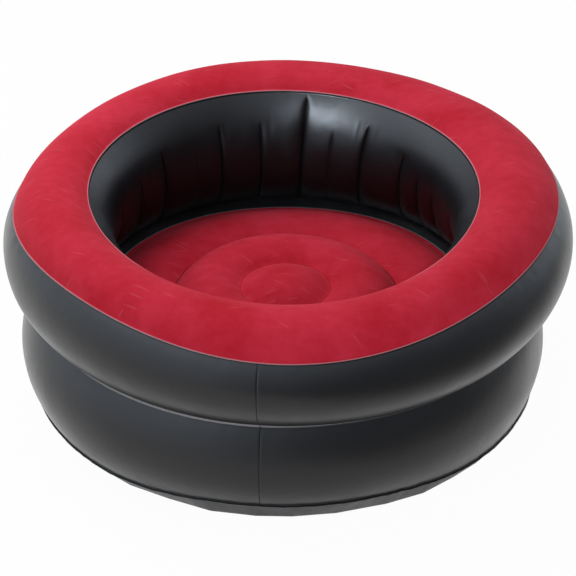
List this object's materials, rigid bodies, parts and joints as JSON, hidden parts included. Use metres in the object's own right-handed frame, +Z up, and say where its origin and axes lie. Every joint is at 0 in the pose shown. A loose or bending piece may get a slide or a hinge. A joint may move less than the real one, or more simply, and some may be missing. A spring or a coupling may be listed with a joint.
{
  "type": "inflatable chair",
  "caption": "Round inflatable lounge chair: a lower ring with a creased flocked seat, a larger upper ring as its backrest, and air valves at the back.",
  "frame": {"origin": "middle of the flat base, on the floor", "axes": "+Z up, -Y the front that the reference view shows, +Y the back with the two air valves"},
  "size_m": [1.1168, 1.1257, 0.4895],
  "materials": {
    "red_flock": "velvety flock on vinyl film",
    "black_vinyl": "satin vinyl film",
    "grey_vinyl": "satin vinyl film",
    "valve_plastic": "smooth moulded plastic",
    "flap_rubber": "soft translucent rubber"
  },
  "bodies": {
    "root": {"top_panel": "red_flock", "upper_outer_wall": "black_vinyl", "inner_wall": "black_vinyl", "deck_panel": "black_vinyl", "seat_panel": "red_flock", "lower_outer_wall": "black_vinyl", "base_sheet": "grey_vinyl", "outer_tie_band": "black_vinyl", "inner_tie_band": "black_vinyl", "upper_valve_base": "valve_plastic", "lower_valve_base": "valve_plastic"},
    "upper_plug": {"upper_plug": "valve_plastic", "upper_strap_ring": "valve_plastic"},
    "upper_flap": {"upper_check_flap": "flap_rubber"},
    "upper_cap": {"upper_cap": "valve_plastic"},
    "lower_plug": {"lower_plug": "valve_plastic", "lower_strap_ring": "valve_plastic"},
    "lower_flap": {"lower_check_flap": "flap_rubber"},
    "lower_cap": {"lower_cap": "valve_plastic"}
  },
  "joints": [
    {"name": "upper_plug_pull", "type": "slide", "parent": "root", "child": "upper_plug", "axis": [0, 1, 0], "range_m": [0, 0.022]},
    {"name": "upper_flap_lift", "type": "slide", "parent": "upper_plug", "child": "upper_flap", "axis": [0, -1, 0], "range_m": [0, 0.003], "stiffness_N_per_m": 30, "springref_m": -0.001},
    {"name": "upper_cap_hinge", "type": "hinge", "parent": "upper_plug", "child": "upper_cap", "pos_m": [0, 0.56692, 0.36022], "axis": [1, 0, 0], "range_deg": [0, 150]},
    {"name": "lower_plug_pull", "type": "slide", "parent": "root", "child": "lower_plug", "axis": [0, 1, 0], "range_m": [0, 0.022]},
    {"name": "lower_flap_lift", "type": "slide", "parent": "lower_plug", "child": "lower_flap", "axis": [0, -1, 0], "range_m": [0, 0.003], "stiffness_N_per_m": 30, "springref_m": -0.001},
    {"name": "lower_cap_hinge", "type": "hinge", "parent": "lower_plug", "child": "lower_cap", "pos_m": [0, 0.52947, 0.14723], "axis": [1, 0, 0], "range_deg": [0, 150]}
  ]
}
